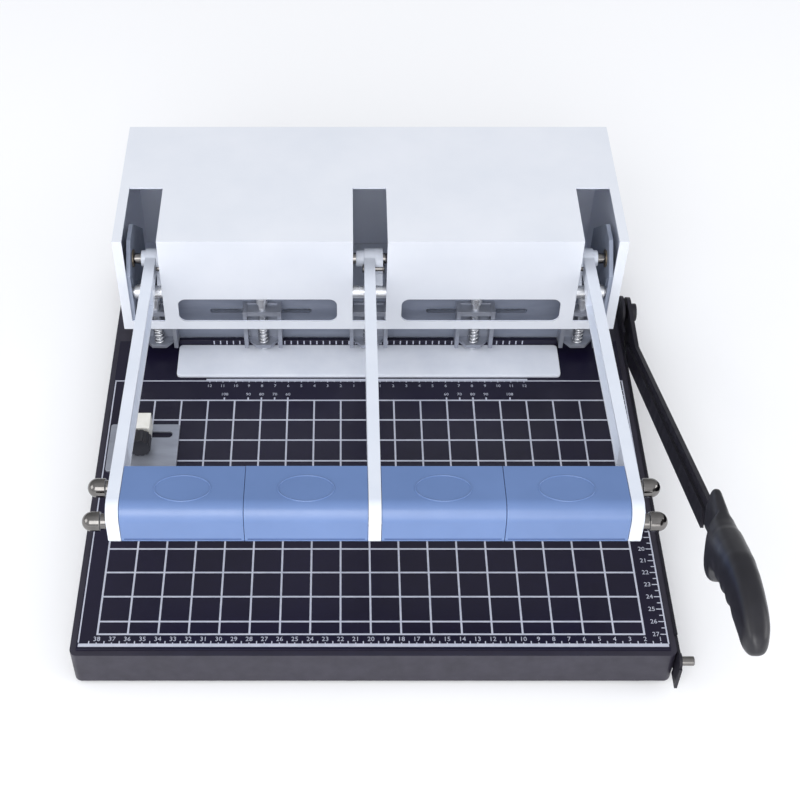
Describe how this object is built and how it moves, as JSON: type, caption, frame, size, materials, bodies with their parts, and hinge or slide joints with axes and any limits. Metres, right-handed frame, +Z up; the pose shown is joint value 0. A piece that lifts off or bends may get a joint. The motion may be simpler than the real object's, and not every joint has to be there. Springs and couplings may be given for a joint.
{
  "type": "document punching machine",
  "caption": "Desk punch with a wide two-grip lever, sheet hood, sliding punch heads over a gridded board, side stop and a swinging side trimmer.",
  "frame": {"origin": "on the table, under the middle of the base", "axes": "+X to the user's right, +Y to the back, +Z up"},
  "size_m": [0.4123, 0.5049, 0.1989],
  "materials": {
    "tray_steel": "satin charcoal enamel",
    "rubber": "matte",
    "printed_panel": "printed satin film",
    "pad_plastic": "matte",
    "hood_enamel": "pale enamel",
    "plain_steel": "satin",
    "bright_steel": "nickel plated",
    "bronze": "sintered",
    "arm_enamel": "pale enamel",
    "grip_plastic": "satin moulded",
    "black_enamel": "satin black",
    "black_plastic": "moulded",
    "white_plastic": "moulded"
  },
  "bodies": {
    "base": {"base_tray": "tray_steel", "rubber_feet": "rubber", "board_panel": "printed_panel", "cutting_pad": "pad_plastic", "fence_strip": "printed_panel", "hood": "hood_enamel", "hood_screws": "plain_steel", "left_cheek": "plain_steel", "right_cheek": "plain_steel", "cheek_screws": "plain_steel", "head_rail": "plain_steel", "rail_brackets": "plain_steel", "shaft_bushes": "bronze", "left_post_bracket": "plain_steel", "right_post_bracket": "plain_steel", "left_return_spring": "bright_steel", "right_return_spring": "bright_steel", "centre_head": "plain_steel", "centre_lock_screws": "plain_steel", "centre_punch_spring": "bright_steel", "bed_knife": "plain_steel", "side_screws": "plain_steel", "pivot_bracket": "black_enamel", "pivot_bolt": "black_enamel", "stop_bracket": "plain_steel", "side_stop_block": "white_plastic", "side_stop_pins": "plain_steel"},
    "lever": {"lever_shaft": "bright_steel", "left_arm": "arm_enamel", "centre_arm": "arm_enamel", "right_arm": "arm_enamel", "left_cam": "plain_steel", "centre_cam": "plain_steel", "right_cam": "plain_steel", "cam_rivets": "bright_steel", "front_grip_rod": "bright_steel", "rear_grip_rod": "bright_steel", "acorn_nuts": "bright_steel", "far_left_grip": "grip_plastic", "left_grip": "grip_plastic", "right_grip": "grip_plastic", "far_right_grip": "grip_plastic"},
    "press_bar": {"press_bar": "bright_steel", "bar_collars": "bright_steel", "return_posts": "bright_steel"},
    "left_head": {"left_head": "plain_steel", "left_lock_screws": "plain_steel", "left_punch_spring": "bright_steel"},
    "right_head": {"right_head": "plain_steel", "right_lock_screws": "plain_steel", "right_punch_spring": "bright_steel"},
    "left_punch": {"left_punch": "bright_steel"},
    "centre_punch": {"centre_punch": "bright_steel"},
    "right_punch": {"right_punch": "bright_steel"},
    "trimmer": {"trimmer_arm": "black_enamel", "upper_knife": "plain_steel", "knife_screws": "plain_steel", "trimmer_handle": "black_plastic"},
    "side_stop": {"side_stop_plate": "plain_steel"},
    "clamp_knob": {"clamp_knob": "black_plastic"}
  },
  "joints": [
    {"name": "lever_swing", "type": "hinge", "parent": "base", "child": "lever", "pos_m": [0, 0.089, 0.116], "axis": [-1, 0, 0], "range_deg": [0, 85]},
    {"name": "bar_lift", "type": "slide", "parent": "base", "child": "press_bar", "axis": [0, 0, 1], "range_m": [0, 0.009], "deforming": ["left_return_spring", "right_return_spring"]},
    {"name": "left_head_slide", "type": "slide", "parent": "base", "child": "left_head", "axis": [-1, 0, 0], "range_m": [-0.021, 0.027]},
    {"name": "right_head_slide", "type": "slide", "parent": "base", "child": "right_head", "axis": [1, 0, 0], "range_m": [-0.021, 0.027]},
    {"name": "left_punch_lift", "type": "slide", "parent": "left_head", "child": "left_punch", "axis": [0, 0, 1], "range_m": [0, 0.009], "deforming": ["left_punch_spring"]},
    {"name": "centre_punch_lift", "type": "slide", "parent": "base", "child": "centre_punch", "axis": [0, 0, 1], "range_m": [0, 0.009], "deforming": ["centre_punch_spring"]},
    {"name": "right_punch_lift", "type": "slide", "parent": "right_head", "child": "right_punch", "axis": [0, 0, 1], "range_m": [0, 0.009], "deforming": ["right_punch_spring"]},
    {"name": "trimmer_swing", "type": "hinge", "parent": "base", "child": "trimmer", "pos_m": [0.2043, 0.1045, 0.0455], "axis": [-1, 0, 0], "range_deg": [-19.6, 50]},
    {"name": "side_stop_slide", "type": "slide", "parent": "base", "child": "side_stop", "axis": [1, 0, 0], "range_m": [-0.014, 0.011]},
    {"name": "clamp_turn", "type": "hinge", "parent": "base", "child": "clamp_knob", "pos_m": [-0.1675, -0.0155, 0.0448], "axis": [0, -1, 0], "range_deg": [0, 180]}
  ],
  "couplings": [
    {"joint": "bar_lift", "follows": "lever_swing", "m_per_rad": 0.006066},
    {"joint": "left_punch_lift", "follows": "lever_swing", "m_per_rad": 0.006066},
    {"joint": "centre_punch_lift", "follows": "lever_swing", "m_per_rad": 0.006066},
    {"joint": "right_punch_lift", "follows": "lever_swing", "m_per_rad": 0.006066}
  ]
}
